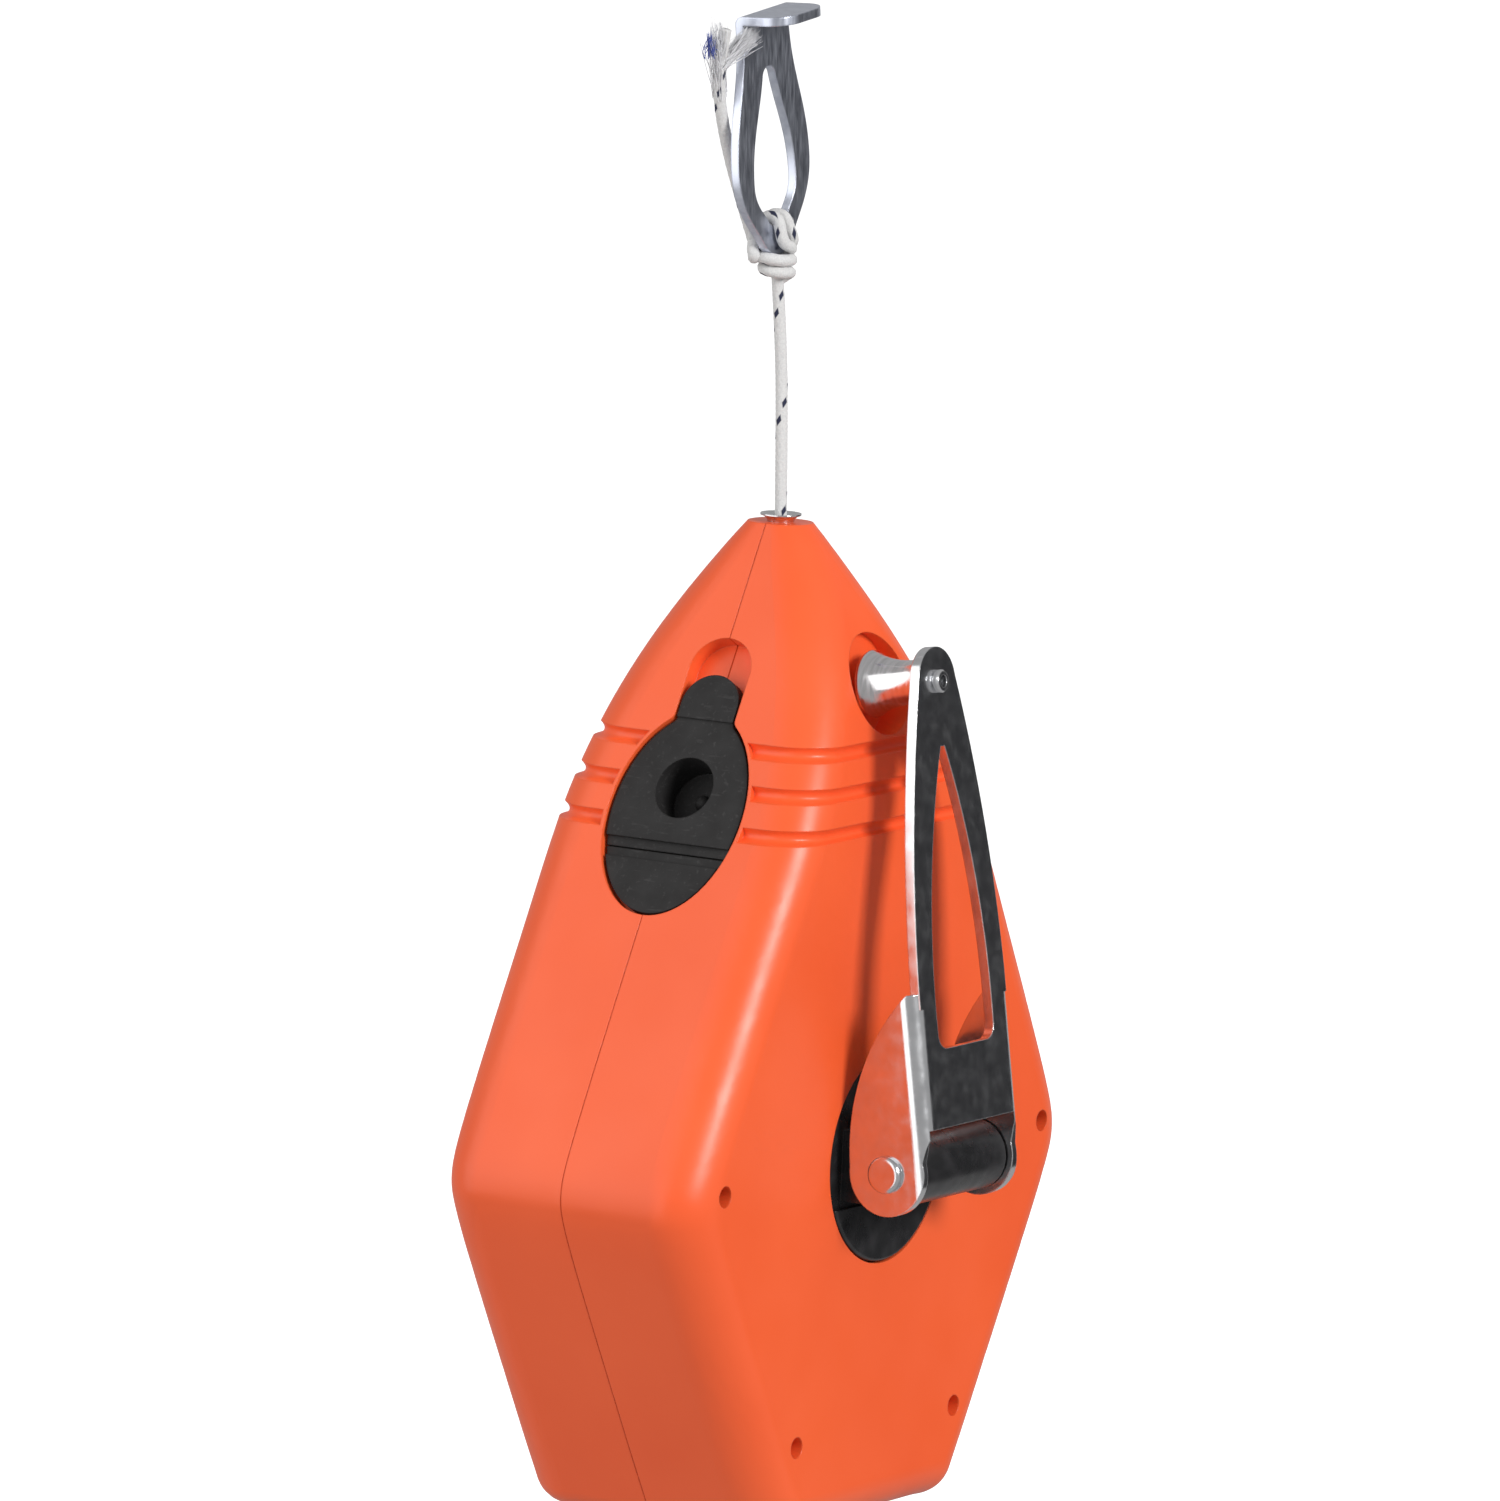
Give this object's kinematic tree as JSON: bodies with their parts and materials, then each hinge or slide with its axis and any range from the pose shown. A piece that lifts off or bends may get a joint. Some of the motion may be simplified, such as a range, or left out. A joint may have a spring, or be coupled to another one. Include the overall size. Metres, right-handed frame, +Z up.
{
  "type": "chalk line reel",
  "caption": "Hand chalk line reel with a kite-shaped moulded case, folding crank, rubber filler plug and a hooked line, hanging by its hook.",
  "frame": {"origin": "middle of the underside of the line hook's tab, which is what the reel hangs by", "axes": "+Z up along the case's own axis from its base to its nose, +X across its broad faces with the filler plug on the -X side, -Y out of the broad face that carries the crank"},
  "size_m": [0.0971, 0.0539, 0.2011],
  "materials": {
    "case_plastic": "satin moulded plastic",
    "plug_rubber": "matt moulded rubber",
    "hub_plastic": "satin black nylon",
    "spool_plastic": "natural moulded plastic",
    "bush_plastic": "satin moulded plastic",
    "plated_steel": "bright nickel plate on stamped steel",
    "knob_aluminium": "turned and polished",
    "screw_steel": "zinc plate",
    "felt": "pressed wool felt",
    "line_braid": "white braid with dark tracer flecks"
  },
  "bodies": {
    "case": {"front_shell": "case_plastic", "rear_shell": "case_plastic", "case_screws": "screw_steel", "fill_plug_anchor": "plug_rubber", "line_eyelet": "plated_steel", "wiper_felt": "felt", "hub_seal": "felt", "rear_bush": "bush_plastic", "inner_line": "line_braid", "free_line": "line_braid", "line_knot": "line_braid", "line_tail": "line_braid", "line_hook": "plated_steel"},
    "drive": {"crank_hub": "hub_plastic", "spool": "spool_plastic", "spool_screw": "screw_steel", "spool_washer": "screw_steel", "wound_line": "line_braid"},
    "crank": {"crank_arm": "plated_steel", "crank_pin": "plated_steel", "knob_washer": "plated_steel", "knob_rivet": "plated_steel"},
    "knob": {"crank_knob": "knob_aluminium"},
    "plug": {"fill_plug_flap": "plug_rubber"}
  },
  "joints": [
    {"name": "crank_turn", "type": "hinge", "parent": "case", "child": "drive", "pos_m": [0.00474, -0.01515, -0.15031], "axis": [0, -1, 0], "continuous": true},
    {"name": "crank_fold", "type": "hinge", "parent": "drive", "child": "crank", "pos_m": [0.00474, -0.02685, -0.15031], "axis": [1, 0, 0], "range_deg": [0, 180]},
    {"name": "knob_spin", "type": "hinge", "parent": "crank", "child": "knob", "pos_m": [0.00474, -0.01871, -0.08682], "axis": [0, -0.9898, 0.1426], "continuous": true},
    {"name": "plug_open", "type": "hinge", "parent": "case", "child": "plug", "pos_m": [-0.02142, 0.00085, -0.10874], "axis": [0, -1, 0], "range_deg": [0, 115]}
  ]
}
